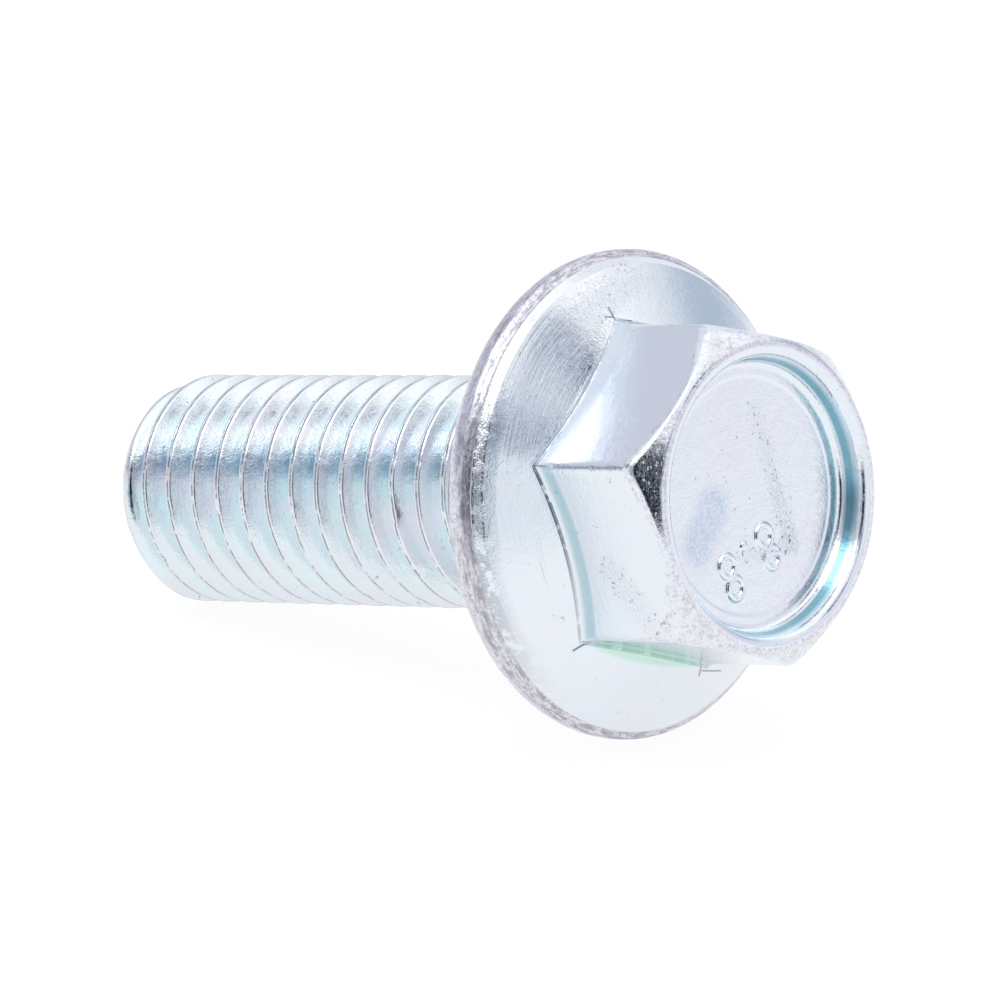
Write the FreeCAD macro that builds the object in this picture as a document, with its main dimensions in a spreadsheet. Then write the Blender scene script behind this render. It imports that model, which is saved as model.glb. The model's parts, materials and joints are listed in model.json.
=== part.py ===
import FreeCAD, Part
import math
import os

import Sketcher

# A hexagon flange bolt, cold forged in one piece with a rolled thread, in
# millimetres and degrees. In its own frame the shank axis is Z, the bearing
# face under the flange is at Z = 0 and the head stands above it. At the end it
# is laid down on its flange rim and its threaded end, head towards +X.

os.makedirs("parts", exist_ok=True)
doc = FreeCAD.newDocument("flange_bolt")

# How close two places are to count as the same one
NEAR = 1e-3

# Driving dimensions, one named cell each

SIZES = {
    "shank_length": 25.0,
    "crest_diameter": 9.8,
    "thread_pitch": 1.5,
    "thread_depth": 0.9,
    "crest_width": 0.22,
    "groove_lead": 0.66,
    "point_diameter": 8.7,
    "point_height": 0.8,
    "neck_diameter": 9.0,
    "neck_height": 1.5,
    "neck_taper": 0.4,
    "neck_fillet": 0.5,
    "flange_diameter": 20.2,
    "rim_height": 1.1,
    "rim_back_round": 0.5,
    "rim_front_round": 0.25,
    "bevel_width": 1.1,
    "bevel_slope": 41.8,
    "flange_rise": 28.0,
    "head_height": 8.8,
    "across_flats": 13.0,
    "corner_round": 0.6,
    "flare_top": 4.2,
    "flare_angle": 8.0,
    "shoulder_inset": 0.2,
    "shoulder_slope": 42.0,
    "lip_outer_round": 0.3,
    "lip_inner_round": 0.15,
    "lip_width": 0.55,
    "recess_depth": 1.2,
    "recess_draft": 12.0,
    "recess_fillet": 0.3,
    "loop_diameter": 0.72,
    "loop_wire": 0.26,
    "digit_spacing": 2.5,
    "digit_line_rise": 2.39,
    "digit_line_shift": 1.25,
    "digit_line_turn": 188.5,
    "dot_diameter": 0.4,
    "dot_drop": 0.74,
    "rest_roll": 8.4,
}

sheet = doc.addObject("Spreadsheet::Sheet", "sizes")
for row, (alias, value) in enumerate(SIZES.items(), start=1):
    sheet.set("A%d" % row, alias)
    sheet.set("B%d" % row, str(value))
    sheet.setAlias("B%d" % row, alias)
doc.recompute()


def size(alias):
    """A driving dimension, read back from the sheet."""
    return float(sheet.get(alias))


bolt = doc.addObject("PartDesign::Body", "bolt")
bolt.Label = "flange_bolt"


def origin_part(role):
    """One of the body's own origin planes or axes."""
    return next(f for f in bolt.Origin.OriginFeatures if f.Role == role)


def value_of(expression):
    """A sheet expression's present value, so that a sketch is drawn near its final place."""
    return float(sheet.evalExpression(expression))


def outline(name, role, corners):
    """A closed sketch of straight lines whose corners are held by pairs of expressions."""
    sketch = bolt.newObject("Sketcher::SketchObject", name)
    sketch.AttachmentSupport = (origin_part(role), [""])
    sketch.MapMode = "FlatFace"
    places = [FreeCAD.Vector(value_of(across), value_of(up), 0) for across, up in corners]
    count = len(corners)
    for i in range(count):
        sketch.addGeometry(Part.LineSegment(places[i], places[(i + 1) % count]), False)
    for i in range(count):
        sketch.addConstraint(Sketcher.Constraint("Coincident", i, 2, (i + 1) % count, 1))
    for i, (across, up) in enumerate(corners):
        hold(sketch, "DistanceX", i, across, places[i].x)
        hold(sketch, "DistanceY", i, up, places[i].y)
    return sketch


def hold(sketch, kind, line, expression, place):
    """Ties the start of a line to an expression, measured from the sketch's origin."""
    number = sketch.addConstraint(Sketcher.Constraint(kind, -1, 1, line, 1, place))
    sketch.setExpression("Constraints[%d]" % number, expression)


def cell(text):
    """An expression in which every @name stands for the sheet's cell of that name."""
    return text.replace("@", "sizes.")


def corners_of(*pairs):
    """Corner expressions of an outline."""
    return [(cell(across), cell(up)) for across, up in pairs]


def seat(feature):
    """Makes a feature the body's tip and works it out."""
    bolt.Tip = feature
    doc.recompute()


def turned(kind, name, profile):
    """A full turn of a profile about the shank axis, added or cut."""
    feature = bolt.newObject(kind, name)
    feature.Profile = profile
    feature.ReferenceAxis = (origin_part("Z_Axis"), [""])
    feature.Angle = 360.0
    seat(feature)


def rounded(name, radius, chosen):
    """A fillet on the edges of the present tip that the given test picks."""
    base = bolt.Tip
    edges = [
        "Edge%d" % number
        for number, edge in enumerate(base.Shape.Edges, start=1)
        if chosen(edge)
    ]
    fillet = bolt.newObject("PartDesign::Fillet", name)
    fillet.Base = (base, edges)
    fillet.setExpression("Radius", cell(radius))
    seat(fillet)


def ring_at(radius, height):
    """A test for the full circle about the axis of a given radius and height."""

    def chosen(edge):
        box = edge.BoundBox
        misses = (box.ZMin - height, box.ZMax - height, box.XMin + radius, box.XMax - radius)
        return all(abs(miss) < NEAR for miss in misses)

    return chosen


# The hexagon: a prism with one corner on the X axis, whose foot flares out a
# little below flare_top, and whose corner edges are rounded from end to end

HALF_FLATS = "@across_flats / 2"
CORNER = "@across_flats / 2 / cos(30)"
HALF_CORNER = "@across_flats / 4 / cos(30)"

hexagon = outline(
    "hexagon_outline",
    "XY_Plane",
    corners_of(
        (CORNER, "0"),
        (HALF_CORNER, HALF_FLATS),
        ("-" + HALF_CORNER, HALF_FLATS),
        ("-" + CORNER, "0"),
        ("-" + HALF_CORNER, "-" + HALF_FLATS),
        (HALF_CORNER, "-" + HALF_FLATS),
    ),
)
hexagon.setExpression("AttachmentOffset.Base.z", cell("@flare_top"))
prism = bolt.newObject("PartDesign::Pad", "hexagon_prism")
prism.Profile = hexagon
prism.setExpression("Length", cell("@head_height - @flare_top"))
seat(prism)


def is_upright(edge):
    """An edge parallel to the axis."""
    box = edge.BoundBox
    return box.XLength < NEAR and box.YLength < NEAR and box.ZLength > NEAR


rounded("hexagon_corners", "@corner_round", is_upright)


def foot_face(solid):
    """The name of a solid's lowest flat face."""
    faces = solid.Faces
    lowest = min(range(len(faces)), key=lambda i: faces[i].BoundBox.ZMax)
    return "Face%d" % (lowest + 1)


sides = bolt.Tip
flare = bolt.newObject("PartDesign::Pad", "hexagon_flare")
flare.Profile = (sides, [foot_face(sides.Shape)])
flare.setExpression("Length", cell("@flare_top"))
flare.setExpression("TaperAngle", cell("@flare_angle"))
seat(flare)

# The shoulder: a cone that takes the hexagon's corners off below the lip

SHOULDER = "(@across_flats / 2 - @shoulder_inset)"
BEYOND = "@flange_diameter"
SHOULDER_FOOT = "@head_height - (@flange_diameter - %s) * tan(@shoulder_slope)" % SHOULDER

shoulder_outline = outline(
    "shoulder_outline",
    "XZ_Plane",
    corners_of(
        (SHOULDER, "@head_height"),
        (BEYOND, "@head_height"),
        (BEYOND, SHOULDER_FOOT),
    ),
)
turned("PartDesign::Groove", "shoulder", shoulder_outline)

# The recess in the head, with its floor and lip rounded

FLOOR = "@head_height - @recess_depth"
RECESS = "(@across_flats / 2 - @shoulder_inset - @lip_width)"
FLOOR_RADIUS = RECESS + " - @recess_depth * tan(@recess_draft)"

recess_outline = outline(
    "recess_outline",
    "XZ_Plane",
    corners_of(
        ("0", "@head_height"),
        ("0", FLOOR),
        (FLOOR_RADIUS, FLOOR),
        (RECESS, "@head_height"),
    ),
)
turned("PartDesign::Groove", "recess", recess_outline)
rounded(
    "lip_outer_edge",
    "@lip_outer_round",
    ring_at(value_of(cell(SHOULDER)), size("head_height")),
)
rounded(
    "lip_inner_edge",
    "@lip_inner_round",
    ring_at(value_of(cell(RECESS)), size("head_height")),
)
rounded(
    "recess_floor_edge",
    "@recess_fillet",
    ring_at(value_of(cell(FLOOR_RADIUS)), value_of(cell(FLOOR))),
)

# The strength figures "8.8" raised on the recess floor: four loops and a point.
# Their line is set off from the axis by a rise and a shift along its own
# upright and reading directions.

UPRIGHT_X = "cos(@digit_line_turn)"
UPRIGHT_Y = "sin(@digit_line_turn)"
READING_X = "sin(@digit_line_turn)"
READING_Y = "-cos(@digit_line_turn)"


def on_floor(kind, name, rise, shift):
    """A raised figure's round body, centred on the recess floor."""
    body = bolt.newObject(kind, name)
    body.AttachmentSupport = (origin_part("XY_Plane"), [""])
    body.MapMode = "FlatFace"
    offset = {
        "x": "(%s) * %s + (%s) * %s" % (rise, UPRIGHT_X, shift, READING_X),
        "y": "(%s) * %s + (%s) * (%s)" % (rise, UPRIGHT_Y, shift, READING_Y),
        "z": FLOOR,
    }
    for letter, expression in offset.items():
        body.setExpression("AttachmentOffset.Base." + letter, cell(expression))
    return body


LOOP_STEP = "(@loop_diameter + @loop_wire / 2) / 2"

for digit, side in (("first", "-"), ("second", "+")):
    for loop, step in (("lower", "-"), ("upper", "+")):
        ring = on_floor(
            "PartDesign::AdditiveTorus",
            "%s_eight_%s_loop" % (digit, loop),
            "@digit_line_rise %s %s" % (step, LOOP_STEP),
            "@digit_line_shift %s @digit_spacing / 2" % side,
        )
        ring.setExpression("Radius1", cell("@loop_diameter / 2"))
        ring.setExpression("Radius2", cell("@loop_wire / 2"))
        seat(ring)
point = on_floor(
    "PartDesign::AdditiveSphere",
    "decimal_point",
    "@digit_line_rise - @dot_drop",
    "@digit_line_shift",
)
point.setExpression("Radius", cell("@dot_diameter / 2"))
seat(point)

# The blank: shank with its point and neck, flange rim, its front bevel and the
# flange cone

POINT = "@point_diameter / 2"
CREST = "@crest_diameter / 2"
NECK = "@neck_diameter / 2"
RIM = "@flange_diameter / 2"
TIP_END = "-@shank_length"
BEVEL = "(@flange_diameter / 2 - @bevel_width)"
BEVEL_TOP = "@rim_height + @bevel_width * tan(@bevel_slope)"
CONE_TOP = BEVEL_TOP + " + (%s - @across_flats / 4) * tan(@flange_rise)" % BEVEL

blank_outline = outline(
    "blank_outline",
    "XZ_Plane",
    corners_of(
        ("0", TIP_END),
        (POINT, TIP_END),
        (CREST, TIP_END + " + @point_height"),
        (CREST, "-@neck_height - @neck_taper"),
        (NECK, "-@neck_height"),
        (NECK, "0"),
        (RIM, "0"),
        (RIM, "@rim_height"),
        (BEVEL, BEVEL_TOP),
        ("@across_flats / 4", CONE_TOP),
        ("0", CONE_TOP),
    ),
)
turned("PartDesign::Revolution", "blank", blank_outline)

rounded("rim_back_edge", "@rim_back_round", ring_at(size("flange_diameter") / 2, 0.0))
rounded(
    "rim_front_edge",
    "@rim_front_round",
    ring_at(size("flange_diameter") / 2, size("rim_height")),
)
rounded("neck_root", "@neck_fillet", ring_at(size("neck_diameter") / 2, 0.0))

# The rolled thread: a groove of trapezoid section along a right-hand helix

GROOVE_MIDDLE = "-@shank_length - @groove_lead"
GROOVE_BED = "((@thread_pitch - @crest_width) / 2 - @thread_depth * tan(30))"
CLEAR = "@thread_depth / 4"
GROOVE_TOP = "((@thread_pitch - @crest_width) / 2 + @thread_depth / 4 * tan(30))"

groove_outline = outline(
    "groove_outline",
    "XZ_Plane",
    corners_of(
        (CREST + " - @thread_depth", GROOVE_MIDDLE + " - " + GROOVE_BED),
        (CREST + " + " + CLEAR, GROOVE_MIDDLE + " - " + GROOVE_TOP),
        (CREST + " + " + CLEAR, GROOVE_MIDDLE + " + " + GROOVE_TOP),
        (CREST + " - @thread_depth", GROOVE_MIDDLE + " + " + GROOVE_BED),
    ),
)
thread = bolt.newObject("PartDesign::SubtractiveHelix", "thread")
thread.Profile = groove_outline
thread.ReferenceAxis = (origin_part("Z_Axis"), [""])
thread.Mode = "pitch-height-angle"
thread.setExpression("Pitch", cell("@thread_pitch"))
thread.setExpression("Height", cell("@shank_length + @groove_lead - @neck_height"))
seat(thread)

# Rest: the bolt lies on the back edge of its flange rim and on the first full
# turn of its thread. The lean is that of a line touching both.

RUN = "(@rim_back_round + @shank_length - @point_height)"
RISE = "(@flange_diameter / 2 - @rim_back_round - @crest_diameter / 2)"
LEAN = "atan(%s / %s) + asin(@rim_back_round / sqrt(%s ^ 2 + %s ^ 2))" % (RISE, RUN, RUN, RISE)


def lying():
    """The turn that lays the head towards +X, with one hexagon corner rolled from the top."""
    lean = math.radians(value_of(cell(LEAN)))
    top = FreeCAD.Vector(-math.sin(lean), 0, math.cos(lean))
    side = FreeCAD.Vector(0, -1, 0)
    head = FreeCAD.Vector(math.cos(lean), 0, math.sin(lean))
    roll = FreeCAD.Rotation(FreeCAD.Vector(0, 0, 1), size("rest_roll"))
    return FreeCAD.Rotation(top, side, head, "ZXY").multiply(roll)


bolt.Placement = FreeCAD.Placement(FreeCAD.Vector(), lying())
doc.recompute()
reach = bolt.Shape.optimalBoundingBox(False, False)
bolt.Placement.Base = FreeCAD.Vector(-reach.Center.x, -reach.Center.y, -reach.ZMin)
doc.recompute()

# Checks, then the file


def check_features():
    """Stops if a feature failed, or if one that should cut left as much behind."""
    before = 0.0
    for feature in doc.Objects:
        if "Invalid" in feature.State or "Error" in feature.State:
            raise RuntimeError("%s failed" % feature.Name)
    for feature in bolt.Group:
        if not feature.isDerivedFrom("PartDesign::Feature"):
            continue
        volume = feature.Shape.Volume
        cuts = "Groove" in feature.TypeId or "Subtractive" in feature.TypeId
        if cuts and volume > before - NEAR:
            raise RuntimeError("%s cut nothing" % feature.Name)
        before = volume


check_features()
shape = bolt.Shape
if shape.isNull() or not shape.isValid() or len(shape.Solids) != 1:
    raise RuntimeError("the bolt is not one valid solid")
shape.exportStep("parts/%s.step" % bolt.Label)
print("volume %.1f mm3, lean %.2f degrees" % (shape.Volume, value_of(cell(LEAN))))
print("lies within", [round(side, 3) for side in (reach.XLength, reach.YLength, reach.ZLength)])
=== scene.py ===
# %% [markdown]
# # A zinc-plated flange bolt
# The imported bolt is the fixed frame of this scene, and everything here is in metres
# in that same frame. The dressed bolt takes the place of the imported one: same sizes,
# with the wear, laps and grain that forging, rolling and plating leave behind.

import json
import math

import bmesh
import bpy
import numpy as np
from mathutils import Matrix, Vector, noise
from mathutils.geometry import delaunay_2d_cdt


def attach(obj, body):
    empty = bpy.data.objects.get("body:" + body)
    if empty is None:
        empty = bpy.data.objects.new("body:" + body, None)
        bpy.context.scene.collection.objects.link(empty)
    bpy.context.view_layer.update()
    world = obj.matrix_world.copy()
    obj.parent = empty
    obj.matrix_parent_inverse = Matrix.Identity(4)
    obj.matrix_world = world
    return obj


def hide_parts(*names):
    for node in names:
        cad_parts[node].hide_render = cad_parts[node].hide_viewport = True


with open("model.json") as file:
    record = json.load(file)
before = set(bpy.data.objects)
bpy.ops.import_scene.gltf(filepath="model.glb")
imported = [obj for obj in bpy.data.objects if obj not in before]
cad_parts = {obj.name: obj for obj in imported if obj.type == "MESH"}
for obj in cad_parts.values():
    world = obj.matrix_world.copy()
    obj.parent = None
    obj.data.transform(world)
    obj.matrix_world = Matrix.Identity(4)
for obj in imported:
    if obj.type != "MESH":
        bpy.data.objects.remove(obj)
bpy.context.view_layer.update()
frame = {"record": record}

# %% [markdown]
# ## The camera
# The bolt was seen from a fair distance with a long lens, so its circles stay almost
# true ellipses. Turning the camera by its elevation and azimuth alone keeps it level.

# %% Camera
CAMERA_PLACE = (0.23138, -0.24509, 0.11784)
CAMERA_AZIMUTH = 43.188
CAMERA_ELEVATION = 18.081
LENS_MM = 304.7
SENSOR_MM = 36.0
NEAREST_SEEN = 0.01

camera = bpy.data.objects.new("camera", bpy.data.cameras.new("camera"))
bpy.context.scene.collection.objects.link(camera)
camera.data.lens = LENS_MM
camera.data.sensor_width = SENSOR_MM
camera.data.clip_start = NEAREST_SEEN
camera.location = CAMERA_PLACE
camera.rotation_euler = (
    math.radians(90.0 - CAMERA_ELEVATION),
    0.0,
    math.radians(CAMERA_AZIMUTH),
)
bpy.context.scene.camera = camera
print("camera:", round(Vector(CAMERA_PLACE).length, 3), "m away with a lens of", LENS_MM, "mm")

# %% [markdown]
# ## The bolt's own axes
# A turned part is easiest to build upright: shank along Z, bearing face at zero, one
# hexagon corner on X, in millimetres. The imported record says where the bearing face
# and the head's top are, and one matrix made from them lays the finished mesh down.

# %% From the bolt's axes to the frame
HEAD_HEIGHT = 8.8
MM = 0.001

mounts = {mount["name"]: mount for mount in frame["record"]["mounts"]}
head_way = -Vector(mounts["bearing_face"]["axis"]).normalized()
middle = Vector(mounts["drive_hexagon"]["pos_m"]) - head_way * HEAD_HEIGHT * MM
corner_way = Vector(mounts["bearing_face"]["pos_m"]) - middle
corner_way = (corner_way - head_way * corner_way.dot(head_way)).normalized()
across_way = head_way.cross(corner_way)
TURN = Matrix((corner_way, across_way, head_way)).transposed()
LAY_DOWN = Matrix.Translation(middle) @ TURN.to_4x4() @ Matrix.Scale(MM, 4)
print("lean of the shank:", round(math.degrees(math.asin(head_way.z)), 2), "degrees")

# %% [markdown]
# ## Node trees in a few words
# Every tree below, for shapes and for finishes, is built with the same few helpers:
# one adds a node and feeds its inputs, some do sums, and one opens a named group.

# %% Helpers for node trees
NODE_SPACING = 190


def feed(tree, socket, wire):
    """Links a socket to another one, or sets it to a value."""
    if isinstance(wire, bpy.types.NodeSocket):
        tree.links.new(wire, socket)
    else:
        socket.default_value = wire


def put(tree, kind, wires=(), **settings):
    """A new node with its fields set and its inputs fed."""
    node = tree.nodes.new(kind)
    node.location = (NODE_SPACING * len(tree.nodes), 0)
    for name, value in settings.items():
        setattr(node, name, value)
    for key, wire in dict(wires).items():
        feed(tree, node.inputs[key], wire)
    return node


def work(tree, operation, *values):
    """The result of one sum."""
    return put(tree, "ShaderNodeMath", enumerate(values), operation=operation).outputs[0]


def product(tree, *values):
    """Several values multiplied together."""
    result = values[0]
    for value in values[1:]:
        result = work(tree, "MULTIPLY", result, value)
    return result


def total(tree, *values):
    """Several values added up."""
    result = values[0]
    for value in values[1:]:
        result = work(tree, "ADD", result, value)
    return result


def ease(tree, value, start, end):
    """A smooth rise from 0 at start to 1 at end; it falls where end is the lower."""
    wires = {"Value": value, "From Min": start, "From Max": end}
    node = put(tree, "ShaderNodeMapRange", wires, interpolation_type="SMOOTHSTEP")
    return node.outputs["Result"]


def new_tree(name, kind, inputs, outputs):
    """A node group with named sockets, and its two end nodes."""
    tree = bpy.data.node_groups.new(name, kind)
    for way, sockets in (("INPUT", inputs), ("OUTPUT", outputs)):
        for label, (socket_type, value) in sockets.items():
            socket = tree.interface.new_socket(label, in_out=way, socket_type="NodeSocket" + socket_type)
            if value is not None:
                socket.default_value = value
    return tree, put(tree, "NodeGroupInput").outputs, put(tree, "NodeGroupOutput").inputs


# %% [markdown]
# ## The rolled thread
# Rolling presses the thread between two dies: metal flows up both flanks and meets in
# a fine seam along the crest. The shape follows one rule all along the shank, so it is
# a Geometry Nodes tree: a flat grid whose rows are sheared into a helix, bent round
# the axis, and drawn in at each row by the thread's section. Rows follow the crests,
# so no crest is stepped, and a curve draws them to crest and root, where the section
# turns, to leave the flanks truly flat.

# %% The thread's sizes, in millimetres
COLUMNS = 240
TIP = -25.0
TIP_RADIUS = 4.35
NECK = -1.5
NECK_RADIUS = 4.5
THREAD = {
    "Crest Radius": ("Float", 4.9),
    "Pitch": ("Float", 1.5),
    "Depth": ("Float", 0.9),
    "Crest Width": ("Float", 0.24),
    "Seam Depth": ("Float", 0.035),
    "Chips": ("Float", 0.15),
    "Start": ("Float", -27.91),
    "Tip": ("Float", TIP),
    "Tip Radius": ("Float", TIP_RADIUS),
    "Tip Slope": ("Float", 0.69),
    "Neck": ("Float", NECK),
    "Neck Radius": ("Float", NECK_RADIUS),
    "Run Out": ("Float", 1.2),
    "Turns": ("Int", 18),
    "Rows per Turn": ("Int", 16),
    "Columns": ("Int", COLUMNS),
    "Seed": ("Float", 4.0),
    "Finish": ("Material", None),
}
FLANK = math.tan(math.radians(60))
ROOT_ROUND = 0.15
TIP_RUN_OUT = 0.3
MERGE_MM = 0.001

# Where the rows lie between a crest, at 0, and the root beside it, at 1
ROW_PLACES = (0.0, 0.07, 0.15, 0.21, 0.48, 0.76, 0.84, 0.92, 1.0)


# %% From a flat grid to a helix
def drawn_rows(tree, value):
    """A curve that draws the rows together at crest and root."""
    curve = put(tree, "ShaderNodeFloatCurve", {"Value": value})
    points = curve.mapping.curves[0].points
    while len(points) < len(ROW_PLACES):
        points.new(0.5, 0.5)
    for number, place in enumerate(ROW_PLACES):
        points[number].location = (number / (len(ROW_PLACES) - 1), place)
        points[number].handle_type = "VECTOR"
    curve.mapping.update()
    return curve.outputs[0]


def thread_rows(tree, given):
    """Angle share and height of every grid point: rows set by a curve, sheared into a helix."""
    position = put(tree, "GeometryNodeInputPosition").outputs[0]
    flat = put(tree, "ShaderNodeSeparateXYZ", {0: position}).outputs
    share = work(tree, "ADD", flat["X"], 0.5)
    turn = product(tree, work(tree, "ADD", flat["Y"], 0.5), given["Turns"])
    nearest = work(tree, "ROUND", turn)
    past = work(tree, "SUBTRACT", turn, nearest)
    drawn = drawn_rows(tree, product(tree, work(tree, "ABSOLUTE", past), 2.0))
    aside = product(tree, drawn, 0.5, work(tree, "SIGN", past))
    rise = product(tree, total(tree, nearest, aside, share), given["Pitch"])
    height = work(tree, "ADD", given["Start"], rise)
    height = work(tree, "MINIMUM", work(tree, "MAXIMUM", height, given["Tip"]), given["Neck"])
    return share, height


def from_crest(tree, given, share, height):
    """Distance along the shank from the nearest crest."""
    phase = work(tree, "DIVIDE", work(tree, "SUBTRACT", height, given["Start"]), given["Pitch"])
    phase = work(tree, "SUBTRACT", phase, share)
    part = work(tree, "FRACT", work(tree, "ADD", phase, 0.5))
    off = work(tree, "ABSOLUTE", work(tree, "SUBTRACT", part, 0.5))
    return product(tree, off, given["Pitch"])


def round_point(tree, radius, angle, height):
    """A point at a radius, angle and height about the axis."""
    wires = {
        "X": product(tree, radius, work(tree, "COSINE", angle)),
        "Y": product(tree, radius, work(tree, "SINE", angle)),
        "Z": height,
    }
    return put(tree, "ShaderNodeCombineXYZ", wires).outputs[0]


# %% [markdown]
# No rolled crest is clean. Seeded noise at three grains chips it, roughens its seam and
# lets the whole surface waver, each by its own depth. The same distances from the crest
# are kept as masks, so that the finish knows later where a crest and its seam run; along
# the seam's real groove it paints shade.

# %% Wear along the crests, in millimetres from a crest's middle
CREST_EDGE = (0.2, 0.06)
CREST_BAND = (0.3, 0.1)
SEAM_EDGE = (0.09, 0.0)
SEAM_LINE = (0.07, 0.0)
NICK_GRAIN = 0.9
NICK_RANGE = (0.56, 0.74)
RAGGED_GRAIN = 5.0
WAVER_GRAIN = 1.5
WAVER_DEPTH = 0.012


def grain_at(tree, place, scale, seed):
    """Seeded noise at a place."""
    wires = {"Vector": place, "W": seed, "Scale": scale, "Detail": 3.0}
    return put(tree, "ShaderNodeTexNoise", wires, noise_dimensions="4D").outputs[0]


def crest_wear(tree, given, aside, place):
    """How far chips, the seam and the waver lower the surface."""
    nicks = ease(tree, grain_at(tree, place, NICK_GRAIN, given["Seed"]), *NICK_RANGE)
    ragged = grain_at(tree, place, RAGGED_GRAIN, given["Seed"])
    chips = product(tree, nicks, ragged, given["Chips"])
    seam_depth = product(tree, ragged, given["Seam Depth"])
    seam = product(tree, ease(tree, aside, *SEAM_EDGE), seam_depth)
    broken = product(tree, total(tree, chips, seam), ease(tree, aside, *CREST_EDGE))
    waver = product(tree, grain_at(tree, place, WAVER_GRAIN, given["Seed"]), WAVER_DEPTH)
    return total(tree, broken, waver)


# %% The thread's section and its whole tree
def thread_section(tree, given, aside, height, wear):
    """The radius at every grid point, and how fully the thread is cut there."""
    half_crest = work(tree, "DIVIDE", given["Crest Width"], 2.0)
    down_flank = product(tree, work(tree, "SUBTRACT", aside, half_crest), FLANK)
    drop = work(tree, "SMOOTH_MIN", down_flank, given["Depth"], ROOT_ROUND)
    drop = work(tree, "MAXIMUM", drop, 0.0)

    below_neck = work(tree, "SUBTRACT", given["Neck"], height)
    above_tip = work(tree, "SUBTRACT", height, given["Tip"])
    leaving = ease(tree, below_neck, 0.0, given["Run Out"])
    full = product(tree, leaving, ease(tree, above_tip, 0.0, TIP_RUN_OUT))
    threaded = work(tree, "SUBTRACT", given["Crest Radius"], product(tree, total(tree, drop, wear), full))
    point = work(tree, "MULTIPLY_ADD", above_tip, given["Tip Slope"], given["Tip Radius"])
    neck = work(tree, "ADD", given["Neck Radius"], below_neck)
    return work(tree, "MINIMUM", threaded, work(tree, "MINIMUM", point, neck)), full


def store_masks(tree, body, masks):
    """Keeps each mask on the points under its name."""
    for name, mask in masks.items():
        wires = {"Geometry": body, "Name": name, "Value": mask}
        stored = put(tree, "GeometryNodeStoreNamedAttribute", wires, data_type="FLOAT", domain="POINT")
        body = stored.outputs[0]
    return body


def build_thread_tree():
    """The whole tree, from flat grid to finished thread."""
    outputs = {"Mesh": ("Geometry", None)}
    tree, given, result = new_tree("rolled_thread", "GeometryNodeTree", THREAD, outputs)
    share, height = thread_rows(tree, given)
    aside = from_crest(tree, given, share, height)
    angle = product(tree, share, math.tau)
    crest_place = round_point(tree, given["Crest Radius"], angle, height)
    wear = crest_wear(tree, given, aside, crest_place)
    radius, full = thread_section(tree, given, aside, height, wear)

    rows = product(tree, given["Turns"], given["Rows per Turn"])
    grid_wires = {
        "Size X": 1.0,
        "Size Y": 1.0,
        "Vertices X": work(tree, "ADD", given["Columns"], 1.0),
        "Vertices Y": work(tree, "ADD", rows, 1.0),
    }
    body = put(tree, "GeometryNodeMeshGrid", grid_wires).outputs["Mesh"]
    masks = {
        # Where the finish paints shade along the crest's seam groove.
        "seam": product(tree, ease(tree, aside, *SEAM_LINE), full),
        "crest": product(tree, ease(tree, aside, *CREST_BAND), full),
    }
    body = store_masks(tree, body, masks)
    bent = {"Geometry": body, "Position": round_point(tree, radius, angle, height)}
    body = put(tree, "GeometryNodeSetPosition", bent).outputs[0]
    merged = {"Geometry": body, "Distance": MERGE_MM}
    body = put(tree, "GeometryNodeMergeByDistance", merged).outputs[0]
    body = put(tree, "GeometryNodeRealizeInstances", {"Geometry": body}).outputs[0]
    finished = {"Geometry": body, "Material": given["Finish"]}
    tree.links.new(put(tree, "GeometryNodeSetMaterial", finished).outputs[0], result["Mesh"])
    return tree


# %% [markdown]
# A modifier on an empty mesh runs the tree. Its inputs are set by each socket's
# identifier, and the evaluated result is copied into a plain mesh that needs no
# modifier any more.

# %% Grow the thread and keep it as a plain mesh
zinc = bpy.data.materials.new("zinc_plate")


def link_object(name, mesh):
    """A mesh in the scene under a name."""
    thing = bpy.data.objects.new(name, mesh)
    bpy.context.scene.collection.objects.link(thing)
    return thing


def grow(name, tree, values):
    """Runs a tree with the given inputs and returns its result as a plain mesh."""
    seedling = link_object(name + "_seedling", bpy.data.meshes.new(name + "_seedling"))
    nodes = seedling.modifiers.new("grow", "NODES")
    nodes.node_group = tree
    for item in tree.interface.items_tree:
        if item.in_out == "INPUT":
            nodes[item.identifier] = values[item.name]
    evaluated = seedling.evaluated_get(bpy.context.evaluated_depsgraph_get())
    mesh = bpy.data.meshes.new_from_object(evaluated)
    seedling.modifiers.remove(nodes)
    bpy.data.objects.remove(seedling)
    mesh.name = name
    return mesh


thread_values = {label: value for label, (socket_type, value) in THREAD.items()}
thread_values["Finish"] = zinc
thread_mesh = grow("thread", build_thread_tree(), thread_values)
print("thread:", len(thread_mesh.vertices), "points")

# %% [markdown]
# ## The forged head
# Neck, flange, hexagon and recess are one skin round the axis. It is drawn as a
# meridian, the line from the neck out round the flange and up over the head into the
# recess, with a radius and a height for every column. Where the outline is a hexagon
# the columns crowd towards its corners. Each corner of the meridian gets a small
# rounding, because a die never leaves a knife edge.

# %% The hexagon's outline
SECTOR = math.radians(60)
NEAR_CORNER = 0.35
angles = np.arange(COLUMNS) * math.tau / COLUMNS


def from_corner(angle):
    """Signed angle from the nearest hexagon corner."""
    return (angle + SECTOR / 2) % SECTOR - SECTOR / 2


def crowded_angles(share):
    """The columns' angles, drawn towards the corners by a share."""
    off = from_corner(angles)
    part = off / (SECTOR / 2)
    drawn = SECTOR / 2 * (NEAR_CORNER * part + (1 - NEAR_CORNER) * part**3)
    return angles + share * (drawn - off)


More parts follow.
